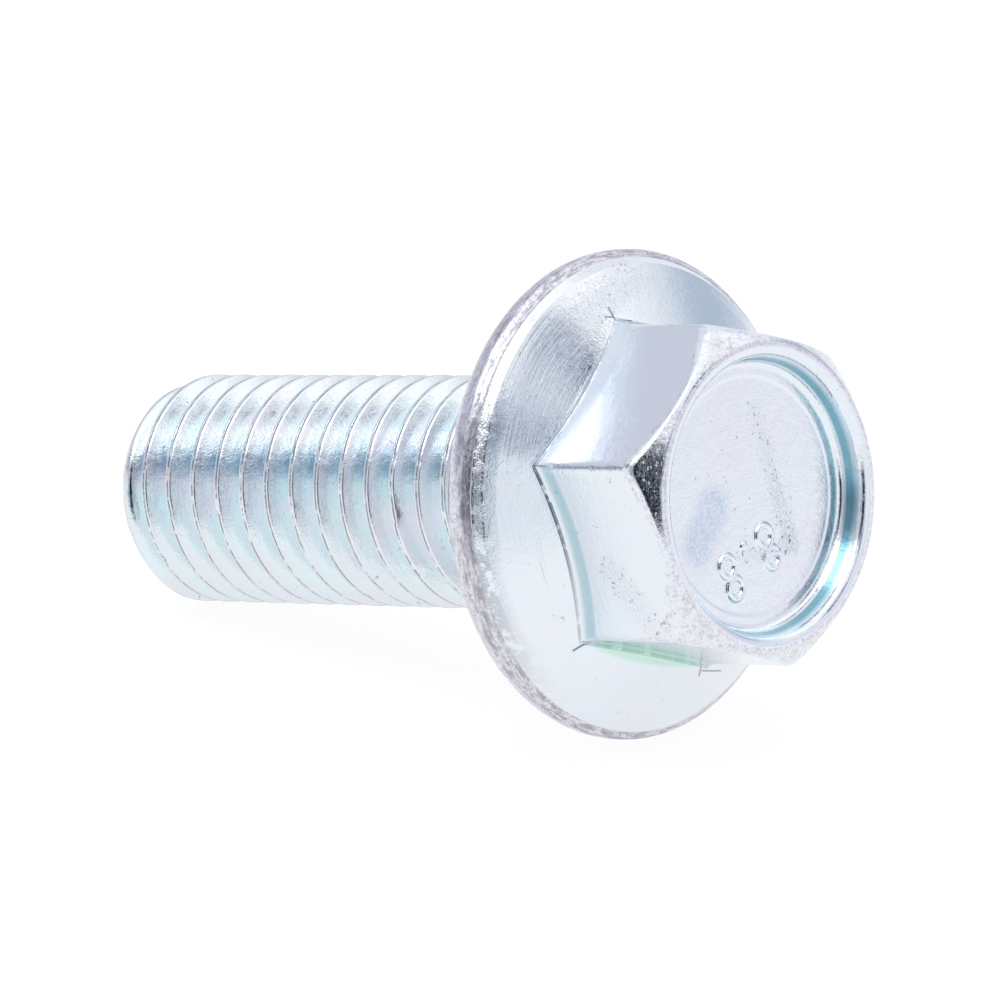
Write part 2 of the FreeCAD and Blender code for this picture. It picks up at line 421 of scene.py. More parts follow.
def hexagon_radius(half_flats, corner_round, angle):
    """Distance from the axis to a round-cornered hexagon's outline."""
    off = np.abs(from_corner(angle))
    centre = (half_flats - corner_round) / math.cos(SECTOR / 2)
    sideways = np.minimum(centre * np.sin(off) / corner_round, 1.0)
    on_round = centre * np.cos(off) + corner_round * np.sqrt(1 - sideways**2)
    on_flat = half_flats / np.cos(SECTOR / 2 - off)
    tangent = math.atan2(corner_round * 0.5, centre + corner_round * math.cos(SECTOR / 2))
    return np.where(off < tangent, on_round, on_flat)


# %% [markdown]
# The meridian is a list of stops. A stop has its radius, height and angle for all the
# columns at once, how round it is, how finely the run before it is divided, and how
# worn, seamed or deep in the recess it is, which the finish reads later.

# %% The head's sizes, in millimetres
NECK_ROOT = 0.5
RIM = 10.1
RIM_FRONT = 1.08
RIM_BACK_ROUND = 0.75
RIM_FRONT_ROUND = 0.25
BAND_EDGE = (9.80, 1.400)
STRIP_FOOT = (9.76, 1.405)
STRIP_TOP = (9.52, 1.750)
BEVEL_FOOT = (9.46, 1.790)
BEVEL = 9.0
BEVEL_TOP = 2.083
FLANGE_SLOPE = math.tan(math.radians(28))
HALF_FLATS = 6.5
CORNER_ROUND = 0.6
CREASE_REACH = 6.62
CREASE_ROUND = 0.12
CREASE_DEPTH = 0.07
BEAD_START = 0.22
BEAD_PLACE = 0.12
BEAD_HEIGHT = 0.015
FOOT_HEIGHT = 0.9
FOOT_ARC = 3.2
SHOULDER = 6.3
SHOULDER_SLOPE = math.tan(math.radians(42))
RECESS = 5.75
LIP_DRAFT = 0.14
LIP_DEPTH = 0.60
RECESS_FOOT = 5.495
FOOT_DRAFT = 0.06
FOOT_RISE = 0.36
FLOOR = 7.6
FLOOR_STEP = 0.03
STEP_OUTER = 4.92
STEP_INNER = 4.82
DISC = 4.6

# %% Stops along the meridian
stops = []


def stop(radius, height, angle=angles, rounding=0.0, steps=1, run=1, worn=0.0, seam=0.0, recess=0.0):
    """Adds a stop to the meridian."""
    ones = np.ones(COLUMNS)
    place = np.stack([radius * ones, height * ones, angle * ones])
    stops.append(
        {
            "place": place,
            "rounding": rounding * ones,
            "steps": steps,
            "run": run,
            "masks": np.stack([worn * ones, seam * ones, recess * ones]),
        }
    )


def cone_height(radius):
    """Height of the flange's cone at a radius."""
    return BEVEL_TOP + (BEVEL - radius) * FLANGE_SLOPE


def facing(middle_degrees, reach_degrees, low, high):
    """A value for each column: high about a middle angle, low away from it."""
    off = (angles - math.radians(middle_degrees) + math.pi) % math.tau - math.pi
    return low + (high - low) * np.exp(-((off / math.radians(reach_degrees)) ** 4))


# %% [markdown]
# The die closes on the flange's outer edge, so the rim isn't a plain cylinder. Its back
# is round, its front runs into a rubbed band, a fine line of painted dark reflection marks
# the foot of a short steep strip, and a bevel leads on to the cone. The line is painted
# round one side only.
#
# Where the cone meets the hexagon, metal is pressed into a crisp crease, with a faint
# bead just outside it. Shade is painted along the crease, strongest round one side.

# %% From the neck to the crease at the hexagon's foot
stop(NECK_RADIUS, NECK)
stop(NECK_RADIUS, 0.0, rounding=NECK_ROOT, steps=5, run=2)
stop(RIM, 0.0, rounding=RIM_BACK_ROUND, steps=8, run=4, worn=0.9)
stop(RIM, RIM_FRONT, rounding=RIM_FRONT_ROUND, steps=5, run=2, worn=1.0)

# Painted reflection: a dark line at the strip's foot, full round one side and faint elsewhere, kept as seam
# values that the finish paints dark.
rim_reflection_line = facing(75, 40, 0.05, 1.0)
stop(*BAND_EDGE, rounding=0.06, steps=2, run=3, worn=0.95)
stop(*STRIP_FOOT, rounding=0.03, steps=2, worn=0.1, seam=0.6 * rim_reflection_line)
stop(*STRIP_TOP, rounding=0.08, steps=3, run=3, worn=0.0, seam=0.5 * rim_reflection_line)
stop(*BEVEL_FOOT, rounding=0.05, steps=2, worn=0.1, seam=0.3 * rim_reflection_line)
stop(BEVEL, BEVEL_TOP, rounding=0.8, steps=4, run=3)

crowded = crowded_angles(1.0)
crease = hexagon_radius(CREASE_REACH, CREASE_ROUND, crowded)
crease_height = cone_height(crease) - CREASE_DEPTH
bead_height = cone_height(crease + BEAD_PLACE) + BEAD_HEIGHT
stop(crease + BEAD_START, cone_height(crease + BEAD_START), crowded, run=14)
stop(crease + BEAD_PLACE, bead_height, crowded, rounding=0.06, steps=3)
# Painted shade along the crease: seam values, full round one side and 0.35 elsewhere, which the finish
# paints dark.
stop(crease, crease_height, crowded, rounding=0.03, steps=3, seam=facing(76, 17, 0.35, 1.0))

# %% [markdown]
# The flats don't stand straight on the cone: their foot flares out along an arc, and on
# two sides it takes the same teal as the recess's painted shade. Worn metal follows the corners' edges.

# %% The flared foot and the six flats
FOOT_RINGS = 7
FOOT_TINT = (0.0, 0.2, 0.55, 0.6, 0.6, 0.5, 0.1)
TINTED_SIDES = {1: 1.0, 2: 0.5}
EDGE_WEAR_REACH = math.radians(1.6)
EDGE_WEAR = 0.7
WEAR_STARTS = 1.6
WEAR_SPREADS = 0.6


def on_side(number, value):
    """A value on the columns between one hexagon corner and the next, and nothing elsewhere."""
    return np.where(np.floor(crowded / SECTOR).astype(int) % 6 == number, value, 0.0)


for ring in range(1, FOOT_RINGS + 1):
    tint = sum(on_side(side, FOOT_TINT[ring - 1] * share) for side, share in TINTED_SIDES.items())
    up = FOOT_HEIGHT * ring / FOOT_RINGS
    flare = (FOOT_HEIGHT - up) ** 2 / (2 * FOOT_ARC)
    edge = CREASE_ROUND + (CORNER_ROUND - CREASE_ROUND) * up / FOOT_HEIGHT
    # The foot's tint goes into the recess mask, and so takes the same teal as the recess's painted shade.
    stop(hexagon_radius(HALF_FLATS + flare, edge, crowded), crease_height + up, crowded, recess=tint)

hexagon = hexagon_radius(HALF_FLATS, CORNER_ROUND, crowded)
edge_wear = EDGE_WEAR * np.exp(-((from_corner(crowded) / EDGE_WEAR_REACH) ** 2))
flat_top = HEAD_HEIGHT - (hexagon - SHOULDER) * SHOULDER_SLOPE
stop(hexagon, flat_top - WEAR_STARTS, crowded, run=6, worn=edge_wear)
stop(hexagon, flat_top - WEAR_SPREADS, crowded, run=3, worn=0.12 + edge_wear)

# %% [markdown]
# Forging seldom fills every corner of the die. Each corner of the head gets its own
# softness, largest on the one that stayed most underfilled.

# %% Shoulder, lip and recess
CORNER_SOFTNESS = (1.3, 0.6, 0.8, 0.7, 1.0, 0.8)
EDGE_SOFTNESS = 0.18
SOFT_REACH = math.radians(13)

nearest = np.rint(crowded / SECTOR).astype(int) % 6
near_corner = np.exp(-((from_corner(crowded) / SOFT_REACH) ** 2))
softness = EDGE_SOFTNESS + near_corner * np.array(CORNER_SOFTNESS)[nearest]
stop(hexagon, flat_top, crowded, rounding=softness, steps=8, run=2, worn=0.6)
stop(SHOULDER, HEAD_HEIGHT, crowded_angles(0.5), rounding=0.3, steps=5, run=4, worn=0.75)
stop(RECESS, HEAD_HEIGHT, rounding=0.42, steps=8, run=3, worn=0.3)
# The recess walls: their recess mask is painted as teal shade.
stop(RECESS - LIP_DRAFT, HEAD_HEIGHT - LIP_DEPTH, run=2, recess=1.0)
stop(RECESS_FOOT + FOOT_DRAFT, FLOOR + FOOT_RISE, run=3, recess=1.0)
stop(RECESS_FOOT, FLOOR, rounding=0.42, steps=8, run=2)
stop(STEP_OUTER, FLOOR, rounding=0.05, steps=2, run=3)
stop(STEP_INNER, FLOOR - FLOOR_STEP, rounding=0.05, steps=2)
stop(DISC, FLOOR - FLOOR_STEP, run=2)
print("meridian stops:", len(stops))

# %% [markdown]
# A stop's corner is cut back along both of its legs and bridged by a conic arc, which
# is a true circle's arc where the cut isn't limited by a short leg. Bending all the
# rows round the axis then gives the skin.


# %% Rounding the meridian and bending it into a skin
ROUNDING_SHARE = 0.7


def rounded_stop(before, here, after):
    """Rows of a stop, its corner replaced by a short arc for every column."""
    place = here["place"]
    if here["steps"] == 1 or before is None or after is None:
        return [place]
    back = before["place"] - place
    ahead = after["place"] - place
    back_length = np.hypot(back[0], back[1])
    ahead_length = np.hypot(ahead[0], ahead[1])
    dot = (back[0] * ahead[0] + back[1] * ahead[1]) / (back_length * ahead_length)
    half = np.arccos(np.clip(dot, -1, 1)) / 2
    cut = here["rounding"] / np.tan(half)
    cut = np.minimum(cut, ROUNDING_SHARE * np.minimum(back_length, ahead_length))
    start = place + back * cut / back_length
    end = place + ahead * cut / ahead_length
    pull = np.sin(half)
    rows = []
    for t in np.linspace(0, 1, here["steps"] + 1):
        weights = ((1 - t) ** 2, 2 * t * (1 - t) * pull, t**2)
        arc = weights[0] * start + weights[1] * place + weights[2] * end
        rows.append(arc / sum(weights))
    return rows


def meridian_rows():
    """All rows of the skin with their masks."""
    rows = []
    masks = []
    for number, here in enumerate(stops):
        before = stops[number - 1] if number else None
        after = stops[number + 1] if number + 1 < len(stops) else None
        corner = rounded_stop(before, here, after)
        if rows:
            for part in range(1, here["run"]):
                share = (1 - math.cos(math.pi * part / here["run"])) / 2
                rows.append(last_row + (corner[0] - last_row) * share)
                masks.append(last_masks + (here["masks"] - last_masks) * share)
        rows += corner
        masks += [here["masks"]] * len(corner)
        last_row = rows[-1]
        last_masks = masks[-1]
    return np.array(rows), np.array(masks)


def skin_faces(row_count):
    """Quads between neighbouring rows, closed round the axis."""
    rows, columns = np.meshgrid(np.arange(row_count - 1), np.arange(COLUMNS), indexing="ij")
    here = rows * COLUMNS + columns
    beside = rows * COLUMNS + (columns + 1) % COLUMNS
    return np.stack([here, beside, beside + COLUMNS, here + COLUMNS], axis=-1).reshape(-1, 4)


rows, row_masks = meridian_rows()
radius, height, angle = rows[:, 0], rows[:, 1], rows[:, 2]
head_points = np.stack([radius * np.cos(angle), radius * np.sin(angle), height], axis=-1).reshape(-1, 3)
head_masks = row_masks.transpose(0, 2, 1).reshape(-1, 3)
head_faces = skin_faces(len(rows)).tolist()
print("head skin:", len(head_points), "points in", len(rows), "rows")

# %% [markdown]
# ## The recess floor and its strength figures
# The figures 8.8 name the steel's strength class. Each 8 is two small loops of raised
# wire, so the floor is a disc of points that lie close round every loop, joined by a
# Delaunay mesh, and lifted by how far each point is from the nearest loop's line.

# %% Where the figures stand
DIGIT_TURN = math.radians(188.5)
UPRIGHT = np.array([math.cos(DIGIT_TURN), math.sin(DIGIT_TURN)])
READING = np.array([math.sin(DIGIT_TURN), -math.cos(DIGIT_TURN)])
LINE_RISE = 2.39
LINE_SHIFT = 1.25
DIGIT_SPACING = 2.5
LOOP_RADIUS = 0.43
WIRE = 0.15
LOOP_STEP = LOOP_RADIUS + WIRE / 2
DOT_DROP = 0.74
DOT_RADIUS = 0.22
DOT_FLATNESS = 0.6

loops = [
    UPRIGHT * (LINE_RISE + step * LOOP_STEP) + READING * (LINE_SHIFT + side * DIGIT_SPACING / 2)
    for side in (-1, 1)
    for step in (-1, 1)
]
dot = UPRIGHT * (LINE_RISE - DOT_DROP) + READING * LINE_SHIFT
print("figures:", len(loops), "loops and a dot")

# %% The floor's points and its height
FLOOR_SPACING = 0.22
DISC_MARGIN = 0.2
FIGURE_MARGIN = 0.12
FIGURE_START = 0.04
FIGURE_OVER = 0.1
FIGURE_SPACING = 0.035
FIGURE_POINTS = 36
SAME_POINT = 1e-5


def ring_of(centre, radius, count):
    """Points on a circle."""
    turns = np.arange(count) * math.tau / count
    return centre + radius * np.stack([np.cos(turns), np.sin(turns)], axis=-1)


def disc_points():
    """The rim of the disc first, then rings about its middle, each loop and the dot."""
    figures = loops + [dot]
    points = [ring_of(np.zeros(2), DISC, COLUMNS)]
    clear = LOOP_RADIUS + WIRE + FIGURE_MARGIN
    for radius in np.arange(DISC - DISC_MARGIN, DISC_MARGIN, -FLOOR_SPACING):
        ring = ring_of(np.zeros(2), radius, int(math.tau * radius / FLOOR_SPACING))
        distance = np.min([np.hypot(*(ring - centre).T) for centre in figures], axis=0)
        points.append(ring[distance > clear])
    for number, centre in enumerate(figures):
        reach = DOT_RADIUS if number == len(loops) else LOOP_RADIUS + WIRE
        for radius in np.arange(FIGURE_START, reach + FIGURE_OVER, FIGURE_SPACING):
            ring = ring_of(centre, radius, FIGURE_POINTS)
            apart = [np.hypot(*(ring - other).T) for other in figures]
            points.append(ring[np.argmin(apart, axis=0) == number])
    return np.concatenate(points)


def figure_height(point):
    """How far the figures lift the floor at a point."""
    lift = 0.0
    for centre in loops:
        off = (np.hypot(*(point - centre)) - LOOP_RADIUS) / WIRE
        lift = max(lift, WIRE * math.sqrt(max(1 - off**2, 0.0)))
    off = np.hypot(*(point - dot)) / DOT_RADIUS
    return max(lift, DOT_FLATNESS * DOT_RADIUS * math.sqrt(max(1 - off**2, 0.0)))


flat_points = disc_points()
flat_faces = delaunay_2d_cdt([Vector(p) for p in flat_points], [], [], 0, SAME_POINT)
disc_places = np.array([list(p) for p in flat_faces[0]])
disc_faces = flat_faces[2]
disc_lift = np.array([figure_height(p) for p in disc_places])
disc = np.column_stack([disc_places, FLOOR - FLOOR_STEP + disc_lift])
print("recess floor:", len(disc), "points,", round(disc_lift.max(), 3), "mm at the figures")

# %% [markdown]
# ## The end of the shank
# The blank was sheared and pointed before rolling. Its end face is a shallow dish
# inside the chamfer.

# %% The threaded end's face
# Radius of each ring, and how deep the dish is there
END_RINGS = ((TIP_RADIUS, 0.0), (4.28, 0.0), (3.9, 0.03), (2.8, 0.09), (1.6, 0.13), (0.6, 0.15))

end_points = [
    [ring * math.cos(angle), ring * math.sin(angle), TIP + dish]
    for ring, dish in END_RINGS
    for angle in angles
]
end_faces = skin_faces(len(END_RINGS)).tolist()
last = (len(END_RINGS) - 1) * COLUMNS
end_faces.append([last + column for column in range(COLUMNS)])
print("end face:", len(end_points), "points")

# %% [markdown]
# ## One closed bolt
# The four skins meet on shared circles. Joined, with doubled points merged, they
# close into a single watertight body.


# %% Joining the skins
def skin_object(name, points, faces, masks=None):
    """A skin as an object, with its masks as attributes."""
    mesh = bpy.data.meshes.new(name)
    mesh.from_pydata([tuple(p) for p in points], [], faces)
    if masks is not None:
        for column, label in enumerate(("worn", "seam", "recess")):
            mesh.attributes.new(label, "FLOAT", "POINT").data.foreach_set("value", masks[:, column])
    return link_object(name, mesh)


skins = [
    skin_object("flange_bolt_zinc", head_points, head_faces, head_masks),
    skin_object("recess_floor", disc, disc_faces),
    skin_object("shank_end", end_points, end_faces),
    link_object("thread_skin", thread_mesh),
]
with bpy.context.temp_override(active_object=skins[0], selected_editable_objects=skins):
    bpy.ops.object.join()
bolt = skins[0]
print("joined:", len(bolt.data.vertices), "points")

# %% [markdown]
# Small dents come last, as in a parts bin: every point is pressed in a little along
# its normal by seeded noise, more where the surface is worn.

# %% Merging, dents and normals
DOUBLE_MM = 0.0015
DENT_GRAIN = 1.1
FINER = 3.7
SMOOTH_DENT = 0.006
WORN_DENT = 0.013
COARSE_SHARE = 0.6
FINE_SHARE = 0.4

body = bmesh.new()
body.from_mesh(bolt.data)
bmesh.ops.remove_doubles(body, verts=body.verts, dist=DOUBLE_MM)
bmesh.ops.recalc_face_normals(body, faces=body.faces)
body.normal_update()
worn_layer = body.verts.layers.float["worn"]
dents = []
for vert in body.verts:
    coarse = abs(noise.noise(vert.co * DENT_GRAIN))
    fine = abs(noise.noise(vert.co * DENT_GRAIN * FINER))
    worn_depth = WORN_DENT * vert[worn_layer] * (COARSE_SHARE * coarse + FINE_SHARE * fine)
    dents.append(vert.normal * (SMOOTH_DENT * coarse + worn_depth))
for vert, dent in zip(body.verts, dents):
    vert.co -= dent

open_edges = sum(1 for edge in body.edges if len(edge.link_faces) != 2)
body.transform(LAY_DOWN)
bmesh.ops.recalc_face_normals(body, faces=body.faces)
triangles = sum(len(face.verts) - 2 for face in body.faces)
volume = round(body.calc_volume() / MM**3, 1)
print("bolt:", triangles, "triangles,", open_edges, "open edges, volume", volume)
body.to_mesh(bolt.data)
body.free()
bolt.data.polygons.foreach_set("use_smooth", [True] * len(bolt.data.polygons))
bolt.data.materials.clear()
bolt.data.materials.append(zinc)

# %% [markdown]
# ## Finish: groups that several places share
# The patterns below put out only masks. They read the bolt's own axes in millimetres,
# so turning marks run truly round the shank, and a mark named by its two ends stays
# where it was pressed in. Each is a group, made once and placed with its own values.


# %% Turning marks
def vectors(tree, operation, wires):
    """One sum of vectors: its vector and its value."""
    return put(tree, "ShaderNodeVectorMath", wires, operation=operation).outputs


def turning_marks_group():
    """Fine lines round the axis: Fineness lines to the millimetre, shorter as Breaks grows."""
    inputs = {"Place": ("Vector", None), "Fineness": ("Float", 9.0), "Breaks": ("Float", 1.5)}
    tree, given, result = new_tree("turning_marks", "ShaderNodeTree", inputs, {"Marks": ("Float", None)})
    place = put(tree, "ShaderNodeSeparateXYZ", {0: given["Place"]}).outputs
    flat = put(tree, "ShaderNodeCombineXYZ", {"X": place["X"], "Y": place["Y"]}).outputs[0]
    radius = vectors(tree, "LENGTH", {0: flat})["Value"]
    outward = vectors(tree, "NORMALIZE", {0: flat})[0]
    around = vectors(tree, "SCALE", {0: outward, "Scale": given["Breaks"]})[0]
    along = product(tree, work(tree, "SUBTRACT", radius, place["Z"]), given["Fineness"])
    lift = put(tree, "ShaderNodeCombineXYZ", {"Z": along}).outputs[0]
    stacked = vectors(tree, "ADD", {0: around, 1: lift})[0]
    wires = {"Vector": stacked, "Scale": 1.0, "Detail": 4.0, "Roughness": 0.65}
    tree.links.new(put(tree, "ShaderNodeTexNoise", wires).outputs[0], result["Marks"])
    return tree


# %% Specks, and marks along a line
def specks_group():
    """Small scattered marks, from a noise cut at a threshold."""
    inputs = {
        "Place": ("Vector", None),
        "Grain": ("Float", 4.0),
        "Threshold": ("Float", 0.62),
        "Spread": ("Float", 0.06),
    }
    tree, given, result = new_tree("specks", "ShaderNodeTree", inputs, {"Mask": ("Float", None)})
    wires = {"Vector": given["Place"], "Scale": given["Grain"], "Detail": 5.0, "Roughness": 0.7}
    grain = put(tree, "ShaderNodeTexNoise", wires).outputs[0]
    top = work(tree, "ADD", given["Threshold"], given["Spread"])
    tree.links.new(ease(tree, grain, given["Threshold"], top), result["Mask"])
    return tree


def along_line_group():
    """1 along a straight line between two places, falling to 0 past its width."""
    inputs = {
        "Place": ("Vector", None),
        "Start": ("Vector", None),
        "End": ("Vector", None),
        "Width": ("Float", 0.05),
        "Softness": ("Float", 0.05),
    }
    tree, given, result = new_tree("along_line", "ShaderNodeTree", inputs, {"Mask": ("Float", None)})
    reach = vectors(tree, "SUBTRACT", {0: given["Place"], 1: given["Start"]})[0]
    line = vectors(tree, "SUBTRACT", {0: given["End"], 1: given["Start"]})[0]
    done = vectors(tree, "DOT_PRODUCT", {0: reach, 1: line})["Value"]
    whole = vectors(tree, "DOT_PRODUCT", {0: line, 1: line})["Value"]
    share = work(tree, "MAXIMUM", work(tree, "DIVIDE", done, whole), 0.0)
    share = work(tree, "MINIMUM", share, 1.0)
    foot = vectors(tree, "SCALE", {0: line, "Scale": share})[0]
    apart = vectors(tree, "DISTANCE", {0: reach, 1: foot})["Value"]
    edge = work(tree, "ADD", given["Width"], given["Softness"])
    tree.links.new(ease(tree, apart, edge, given["Width"]), result["Mask"])
    return tree


TURNING = turning_marks_group()
SPECKS = specks_group()
ALONG_LINE = along_line_group()
print("shared groups:", [group.name for group in (TURNING, SPECKS, ALONG_LINE)])


# %% Placing groups and mixing colours
MIX_FIRST, MIX_SECOND, MIX_RESULT = 6, 7, 2


def use(tree, group, wires):
    """A group placed in a tree, and its first output."""
    return put(tree, "ShaderNodeGroup", wires, node_tree=group).outputs[0]


def blend(tree, share, first, second):
    """A mix of two colours."""
    wires = {"Factor": share, MIX_FIRST: first, MIX_SECOND: second}
    return put(tree, "ShaderNodeMix", wires, data_type="RGBA").outputs[MIX_RESULT]


# %% [markdown]
# ## Marks with a place of their own
# Forging leaves laps where metal folded over at the foot of a corner, and handling
# leaves patches. Each has two ends in the bolt's own axes, a width and a softness,
# all in millimetres.

# %% Laps and patches
LAPS = {
    "first_corner_out": ((7.7, 0.08, 2.78), (8.2, 0.0, 2.52), 0.015, 0.035),
    "first_corner_fork": ((7.8, 0.08, 2.73), (7.95, 0.45, 2.62), 0.01, 0.03),
    "first_corner_along": ((7.66, 0.0, 2.8), (7.35, -0.65, 2.94), 0.015, 0.035),
    "second_corner_tick": ((3.75, 6.62, 3.75), (3.55, 6.52, 4.15), 0.02, 0.04),
    "third_corner_out": ((-4.07, 6.95, 2.6), (-3.94, 6.4, 2.88), 0.02, 0.05),
    "third_corner_along": ((-3.94, 6.4, 2.9), (-4.0, 5.94, 3.1), 0.02, 0.05),
    "fourth_corner_out": ((-7.35, 0.48, 2.95), (-7.8, 0.53, 2.72), 0.02, 0.04),
    "fourth_corner_along": ((-7.65, 0.37, 2.8), (-8.24, -1.03, 2.46), 0.012, 0.03),
    "rim_nick": ((6.55, -7.05, 1.76), (6.29, -6.34, 2.12), 0.015, 0.035),
}
PATCHES = {
    "cone_specks": ((8.9, -2.2, 2.0), (8.5, 0.6, 2.3), 0.3, 1.1),
    "cone_streaks": ((7.9, 3.0, 2.4), (5.4, 6.5, 2.4), 0.7, 1.0),
    "floor_blotch": ((0.3, 2.1, 7.6), (-0.8, 3.5, 7.6), 0.4, 0.9),
    "floor_scuff": ((3.2, -1.6, 7.6), (-2.8, -1.7, 7.6), 0.1, 0.7),
    "floor_scuff_low": ((-2.8, -1.7, 7.6), (-2.2, 1.3, 7.6), 0.1, 0.5),
    "flat_scuff": ((-0.7, 6.5, 5.4), (-3.4, 6.5, 7.2), 0.2, 0.9),
    "green_foot": ((-4.3, 5.9, 3.5), (-7.4, 0.3, 3.6), 0.45, 0.25),
}
SMEARS = {
    "upper_smear": ((2.73, 8.05, 2.35), (0.81, 8.24, 2.47), 0.02, 0.22),
    "lower_smear": ((1.1, 7.42, 2.91), (-1.1, 7.76, 2.71), 0.02, 0.22),
}


def mark_mask(tree, place, mark):
    """The mask of one mark."""
    start, end, width, softness = mark
    wires = {"Place": place, "Start": start, "End": end, "Width": width, "Softness": softness}
    return use(tree, ALONG_LINE, wires)


def all_marks(tree, place, marks):
    """Several marks as one mask."""
    mask = 0.0
    for mark in marks.values():
        mask = work(tree, "MAXIMUM", mark_mask(tree, place, mark), mask)
    return mask


print("marks:", len(LAPS), "laps,", len(PATCHES), "patches,", len(SMEARS), "smears")

# %% [markdown]
# ## The zinc plate
# Bright zinc under a pale blue passivate: a mirror with a fine grain, cyan where it is
# clean, lavender where the film is thin, grey and flaky where parts rubbed in the
# barrel. One metal shader takes all of it from masks. A Mapping node turns the laid
# bolt's Object coordinates back into the upright axes in which the marks are given.

# %% The zinc's own axes, masks and patterns
zinc.use_nodes = True
tree = zinc.node_tree
tree.nodes.clear()
upright = TURN.transposed()
own_place = put(
    tree,
    "ShaderNodeMapping",
    {
        "Vector": put(tree, "ShaderNodeTexCoord").outputs["Object"],
        "Rotation": upright.to_euler(),
        "Location": -(upright @ middle) / MM,
        "Scale": (1 / MM, 1 / MM, 1 / MM),
    },
).outputs[0]

# Grain, threshold and spread of each kind of speck
SPECKLE = {
    "thin_film": (0.35, 0.40, 0.25),
    "green_film": (0.22, 0.50, 0.2),
    "flakes": (2.6, 0.40, 0.20),
    "grit": (6.5, 0.42, 0.16),
    "flecks": (5.0, 0.60, 0.05),
    "stray": (2.4, 0.675, 0.03),
    "seam_breaks": (1.6, 0.40, 0.12),
    "lap_breaks": (3.0, 0.34, 0.1),
}


def mask_of(name):
    """One of the mesh's own masks."""
    return put(tree, "ShaderNodeAttribute", attribute_name=name).outputs["Fac"]


def specks(kind):
    """Specks of one kind on the zinc."""
    grain, threshold, spread = SPECKLE[kind]
    wires = {"Place": own_place, "Grain": grain, "Threshold": threshold, "Spread": spread}
    return use(tree, SPECKS, wires)


def lines(fineness, breaks):
    """Turning marks on the zinc."""
    return use(tree, TURNING, {"Place": own_place, "Fineness": fineness, "Breaks": breaks})


def times(*values):
    """A product on the zinc."""
    return product(tree, *values)


def plus(*values):
    """A sum on the zinc."""
    return total(tree, *values)


worn, seam, recess, crest = (mask_of(name) for name in ("worn", "seam", "recess", "crest"))
patch = {name: mark_mask(tree, own_place, mark) for name, mark in PATCHES.items()}
marks = lines(7.0, 1.2)
strokes = lines(4.5, 13.0)
flakes = specks("flakes")
grit = specks("grit")
sparkle = put(tree, "ShaderNodeTexNoise", {"Vector": own_place, "Scale": 15.0, "Detail": 1.5}).outputs[0]
print("zinc patterns:", len(SPECKLE), "kinds of speck and", len(patch), "patches")

# %% [markdown]
# Colour is laid on in layers, each with the mask that says where it shows: first the
# film's own tints and the recess's painted teal shade, then the rubbed and worn places,
# and last dirt in specks and laps, with painted shade along seams, creases and the rim's strip.

# %% The plate's colours
CLEAN_BLUE = (0.74, 0.87, 0.91, 1.0)
THIN_LAVENDER = (0.80, 0.82, 0.88, 1.0)
FAINT_GREEN = (0.80, 0.88, 0.85, 1.0)
RUBBED_PALE = (0.79, 0.78, 0.84, 1.0)
RUBBED_GREY = (0.40, 0.40, 0.47, 1.0)
RIM_GREY = (0.30, 0.28, 0.34, 1.0)
PALE_GREEN = (0.60, 0.79, 0.73, 1.0)
CONE_GREY = (0.68, 0.72, 0.80, 1.0)
DARK_FLECK = (0.10, 0.09, 0.12, 1.0)
# Dark for the laps, and painted shade along seams, creases and the rim's strip.
SEAM_SHADE_AND_LAPS = (0.16, 0.17, 0.22, 1.0)
# Painted shade in the recess walls, also used for the foot's tint.
RECESS_SHADE_TEAL = (0.22, 0.46, 0.53, 1.0)
CREST_PALE = (0.80, 0.79, 0.83, 1.0)
MAUVE = (0.58, 0.50, 0.55, 1.0)
BLOTCH = (0.52, 0.62, 0.76, 1.0)

# %% Where the plate is rubbed
HEAD_START, HEAD_FULL = -0.5, 1.0
above = put(tree, "ShaderNodeSeparateXYZ", {0: own_place}).outputs["Z"]
on_head = ease(tree, above, HEAD_START, HEAD_FULL)

flaking = times(plus(flakes, -0.5), 0.30)
stroking = times(plus(strokes, -0.5), 0.8)
rubbed = ease(tree, plus(worn, flaking, stroking), 0.45, 0.85)
rim = ease(tree, worn, 0.85, 0.98)
rim_strokes = times(rim, ease(tree, strokes, 0.44, 0.60), 0.8)
rubbed_shade = blend(tree, times(grit, 0.5), RUBBED_PALE, RUBBED_GREY)
rubbed_shade = blend(tree, rim_strokes, rubbed_shade, RIM_GREY)

# %% Where it is dirty, smeared or folded, and where shade is painted along seams
floor_scuffs = (patch["floor_scuff"], patch["floor_scuff_low"])
scuffed = plus(times(patch["cone_specks"], 0.9), *floor_scuffs, patch["flat_scuff"])
fleck_share = plus(times(worn, 0.4), times(scuffed, 0.7))
dark = work(tree, "MAXIMUM", times(specks("flecks"), fleck_share), times(specks("stray"), 0.5))
smears = times(all_marks(tree, own_place, SMEARS), ease(tree, marks, 0.45, 0.65))
# Painted shade and reflection: dark lines along the thread's seam, the hexagon's crease and the rim's strip,
# broken into lengths.
broken = times(seam, specks("seam_breaks"))
laps = times(all_marks(tree, own_place, LAPS), specks("lap_breaks"))
# Painted seam shade together with the laps' own dark.
shaded_seams_and_laps = work(tree, "MAXIMUM", times(broken, 0.75), times(laps, 0.85))
blotch = times(patch["floor_blotch"], plus(times(grit, 0.5), 0.35))

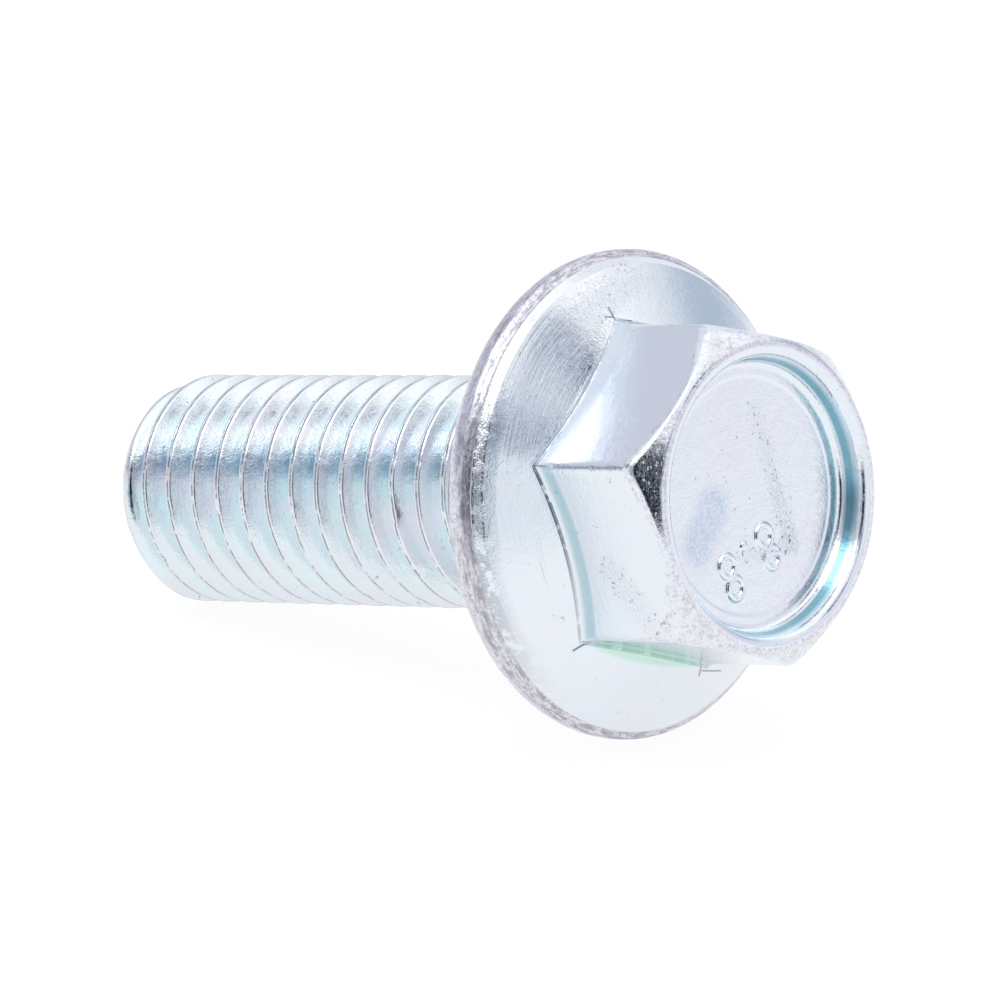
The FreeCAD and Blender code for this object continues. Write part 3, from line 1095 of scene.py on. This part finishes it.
# %% The layers of colour
LAYERS = (
    (specks("thin_film"), THIN_LAVENDER),
    (times(specks("green_film"), 0.5), FAINT_GREEN),
    (times(on_head, 0.65), THIN_LAVENDER),
    (patch["cone_streaks"], CONE_GREY),
    # Painted shade: the recess walls, and the foot on two sides, turn deep teal.
    (recess, RECESS_SHADE_TEAL),
    (blotch, BLOTCH),
    (times(crest, sparkle), CREST_PALE),
    (times(rubbed, 0.9), rubbed_shade),
    (patch["green_foot"], PALE_GREEN),
    (dark, DARK_FLECK),
    (times(smears, 0.35), MAUVE),
    # Painted shade along seams, creases and the rim's strip, and the laps' own dark.
    (shaded_seams_and_laps, SEAM_SHADE_AND_LAPS),
)
colour = CLEAN_BLUE
for mask, shade in LAYERS:
    colour = blend(tree, mask, colour, shade)
print("layers of colour:", len(LAYERS))

# %% [markdown]
# Relief is kept in millimetres and handed to one bump: turning marks, the sparkle of
# the plated grain, flakes, and the sunken specks and laps.

# %% Roughness, relief and the metal itself
PLATE_ROUGHNESS = 0.05
roughness = plus(times(marks, 0.06), PLATE_ROUGHNESS, times(rubbed, 0.04))
roughness = plus(roughness, times(rim, 0.18), times(crest, 0.1))

SPARKLE_DEPTH, SPARKLE_WORN_OFF = 0.0060, 0.0045
FLAKE_DEPTH, FLAKE_WORN_OFF = 0.003, 0.002
MARK_DEPTH, STREAK_DEPTH = 0.004, 0.020
STROKE_DEPTH, GRIT_DEPTH = 0.014, 0.0018
FLECK_DEPTH, LAP_DEPTH, SCUFF_DEPTH = 0.02, 0.03, 0.006

clean_relief = plus(
    times(sparkle, plus(SPARKLE_DEPTH, times(worn, -SPARKLE_WORN_OFF))),
    times(flakes, plus(FLAKE_DEPTH, times(worn, -FLAKE_WORN_OFF))),
    times(marks, plus(times(patch["cone_streaks"], STREAK_DEPTH), MARK_DEPTH)),
)
worn_relief = plus(times(strokes, rim, STROKE_DEPTH), times(grit, worn, GRIT_DEPTH))
sunk = plus(times(dark, -FLECK_DEPTH), times(shaded_seams_and_laps, -LAP_DEPTH), times(scuffed, grit, -SCUFF_DEPTH))
relief = plus(clean_relief, worn_relief, sunk)
bump = put(tree, "ShaderNodeBump", {"Strength": 1.0, "Distance": MM, "Height": relief})

steel = put(
    tree,
    "ShaderNodeBsdfPrincipled",
    {"Base Color": colour, "Roughness": roughness, "Normal": bump.outputs[0], "Metallic": 1.0},
)
put(tree, "ShaderNodeOutputMaterial", {"Surface": steel.outputs[0]})
print("zinc plate:", len(tree.nodes), "nodes")

# %% [markdown]
# ## The ground
# Plain white paper. It glows for rays that look at it or mirror it, so that it shows
# white in the picture and in the metal, and lights the bolt little. Its weak diffuse
# share still takes the bolt's faint shadow.


# %% White paper
def ray_share(tree):
    """1 for rays that look straight at, or mirror, what they hit."""
    path = put(tree, "ShaderNodeLightPath").outputs
    seen = work(tree, "MAXIMUM", path["Is Camera Ray"], path["Is Glossy Ray"])
    return work(tree, "MAXIMUM", seen, path["Is Transmission Ray"])


WHITE = (1.0, 1.0, 1.0, 1.0)
GROUND_HALF = 3.0
GROUND_DROP = 0.00002
PAPER = 0.12
PAPER_GLOW = 0.92

sheet = bpy.data.meshes.new("ground")
corners = [(x * GROUND_HALF, y * GROUND_HALF, -GROUND_DROP) for x, y in ((-1, -1), (1, -1), (1, 1), (-1, 1))]
sheet.from_pydata(corners, [], [(0, 1, 2, 3)])
ground = link_object("ground", sheet)
paper = bpy.data.materials.new("white_paper")
paper.use_nodes = True
tree = paper.node_tree
tree.nodes.clear()
matt = put(tree, "ShaderNodeBsdfDiffuse", {"Color": (PAPER, PAPER, PAPER, 1.0)})
glow_strength = product(tree, ray_share(tree), PAPER_GLOW)
glow = put(tree, "ShaderNodeEmission", {"Color": WHITE, "Strength": glow_strength})
both = put(tree, "ShaderNodeAddShader", {0: matt.outputs[0], 1: glow.outputs[0]})
put(tree, "ShaderNodeOutputMaterial", {"Surface": both.outputs[0]})
sheet.materials.append(paper)

# %% [markdown]
# ## Light and surroundings
# Bright metal is mostly what it mirrors, so the surroundings are drawn with care: a
# pale studio all round, a long white soft box, and darker cards that draw the bands
# along the thread and the dark streak on the rim. Each card is a soft rectangle on the
# sky, named by its azimuth from +X, its elevation, its half sizes and how soft its edge
# is, all in degrees. Where two overlap, the later one in the list stands in front.
#
# Metal finds the sky by its own mirrored rays, so the sky isn't sampled as a lamp too,
# which saves render time and changes nothing that shows.

# %% Soft cards
CARDS = {
    "ceiling": (0.0, 74.0, 180.0, 14.0, 5.0, (1.25, 1.25, 1.25, 1.0)),
    "low_haze": (-50.0, 12.0, 36.0, 16.0, 4.0, (0.74, 0.83, 0.89, 1.0)),
    "far_right": (82.0, 14.0, 18.0, 11.0, 8.0, (0.50, 0.58, 0.70, 1.0)),
    "right_haze": (45.0, 4.0, 25.0, 10.0, 8.0, (0.86, 0.82, 0.92, 1.0)),
    "upper_right": (60.0, 38.0, 24.0, 10.0, 8.0, (0.98, 0.98, 1.0, 1.0)),
    "dark_patch": (22.0, 40.0, 14.0, 8.0, 5.0, (0.08, 0.13, 0.24, 1.0)),
    "blue_band": (-12.0, 33.5, 14.0, 6.0, 1.5, (0.14, 0.24, 0.36, 1.0)),
    "second_blue": (-111.0, 38.0, 16.0, 12.0, 4.0, (0.22, 0.34, 0.47, 1.0)),
    "white_box": (-10.0, 44.5, 26.0, 4.5, 1.5, (1.3, 1.3, 1.3, 1.0)),
    "top_white": (62.0, 46.0, 24.0, 7.0, 3.0, (1.3, 1.28, 1.26, 1.0)),
    "dark_card": (-45.5, 22.0, 16.0, 22.0, 2.5, (0.015, 0.018, 0.035, 1.0)),
    "dark_side": (-78.0, 26.0, 5.0, 16.0, 2.0, (0.08, 0.09, 0.14, 1.0)),
    "side_gap": (-80.0, 70.0, 16.0, 14.0, 5.0, (0.78, 0.86, 0.92, 1.0)),
    "grey_wall": (180.0, 26.0, 45.0, 20.0, 3.0, (0.70, 0.71, 0.79, 1.0)),
    "left_dark": (-141.0, 13.0, 10.0, 8.0, 3.0, (0.30, 0.35, 0.42, 1.0)),
    "left_haze": (180.0, 56.0, 50.0, 12.0, 3.0, (0.86, 0.91, 0.99, 1.0)),
}
CARD_INPUTS = ("Azimuth", "Elevation", "Half Width", "Half Height", "Softness")
STUDIO = (0.95, 0.97, 1.0, 1.0)
FULL_TURN = 360.0


def within(tree, off, half, softness):
    """1 where a distance is under a half size, with a soft edge."""
    return ease(tree, off, work(tree, "ADD", half, softness), work(tree, "SUBTRACT", half, softness))


def soft_card_group():
    """Share of a soft rectangle seen in a direction."""
    inputs = {"Direction": ("Vector", None), **{name: ("Float", 0.0) for name in CARD_INPUTS}}
    tree, given, result = new_tree("soft_card", "ShaderNodeTree", inputs, {"Mask": ("Float", None)})
    way = put(tree, "ShaderNodeSeparateXYZ", {0: given["Direction"]}).outputs
    azimuth = work(tree, "DEGREES", work(tree, "ARCTAN2", way["Y"], way["X"]))
    elevation = work(tree, "DEGREES", work(tree, "ARCSINE", way["Z"]))
    turned = work(tree, "DIVIDE", work(tree, "SUBTRACT", azimuth, given["Azimuth"]), FULL_TURN)
    part = work(tree, "FRACT", work(tree, "ADD", turned, 0.5))
    across = product(tree, work(tree, "ABSOLUTE", work(tree, "SUBTRACT", part, 0.5)), FULL_TURN)
    above = work(tree, "ABSOLUTE", work(tree, "SUBTRACT", elevation, given["Elevation"]))
    in_width = within(tree, across, given["Half Width"], given["Softness"])
    in_height = within(tree, above, given["Half Height"], given["Softness"])
    tree.links.new(product(tree, in_width, in_height), result["Mask"])
    return tree


# %% The world's shading
SOFT_CARD = soft_card_group()
world = bpy.data.worlds.new("studio")
bpy.context.scene.world = world
world.use_nodes = True
world.cycles.sampling_method = "NONE"
tree = world.node_tree
tree.nodes.clear()
direction = put(tree, "ShaderNodeTexCoord").outputs["Generated"]
sky = STUDIO
for *sizes, shade in CARDS.values():
    share = use(tree, SOFT_CARD, {"Direction": direction, **dict(zip(CARD_INPUTS, sizes))})
    sky = blend(tree, share, sky, shade)
camera_ray = put(tree, "ShaderNodeLightPath").outputs["Is Camera Ray"]
sky = blend(tree, camera_ray, sky, WHITE)
backdrop = put(tree, "ShaderNodeBackground", {"Color": sky, "Strength": 1.0})
put(tree, "ShaderNodeOutputWorld", {"Surface": backdrop.outputs[0]})
print("surroundings:", len(CARDS), "cards")

# %% [markdown]
# The sky alone would leave the ground without a shadow. One weak soft lamp above the
# bolt gives it one, with little light on the metal.

# %% One soft lamp above
LAMP_PLACE = (0.05, -0.18, 0.45)
LAMP_SIZE = 0.25
LAMP_WATTS = 0.6

lamp = bpy.data.objects.new("soft_lamp", bpy.data.lights.new("soft_lamp", "AREA"))
bpy.context.scene.collection.objects.link(lamp)
lamp.data.size = LAMP_SIZE
lamp.data.energy = LAMP_WATTS
lamp.location = LAMP_PLACE
lamp.rotation_euler = (-Vector(LAMP_PLACE)).to_track_quat("-Z", "Y").to_euler()
print("lamp:", LAMP_WATTS, "W,", LAMP_SIZE, "m wide")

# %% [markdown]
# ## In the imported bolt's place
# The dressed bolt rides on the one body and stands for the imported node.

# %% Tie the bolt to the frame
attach(bolt, "root")
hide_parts("flange_bolt")
bpy.context.scene.view_settings.view_transform = "Standard"
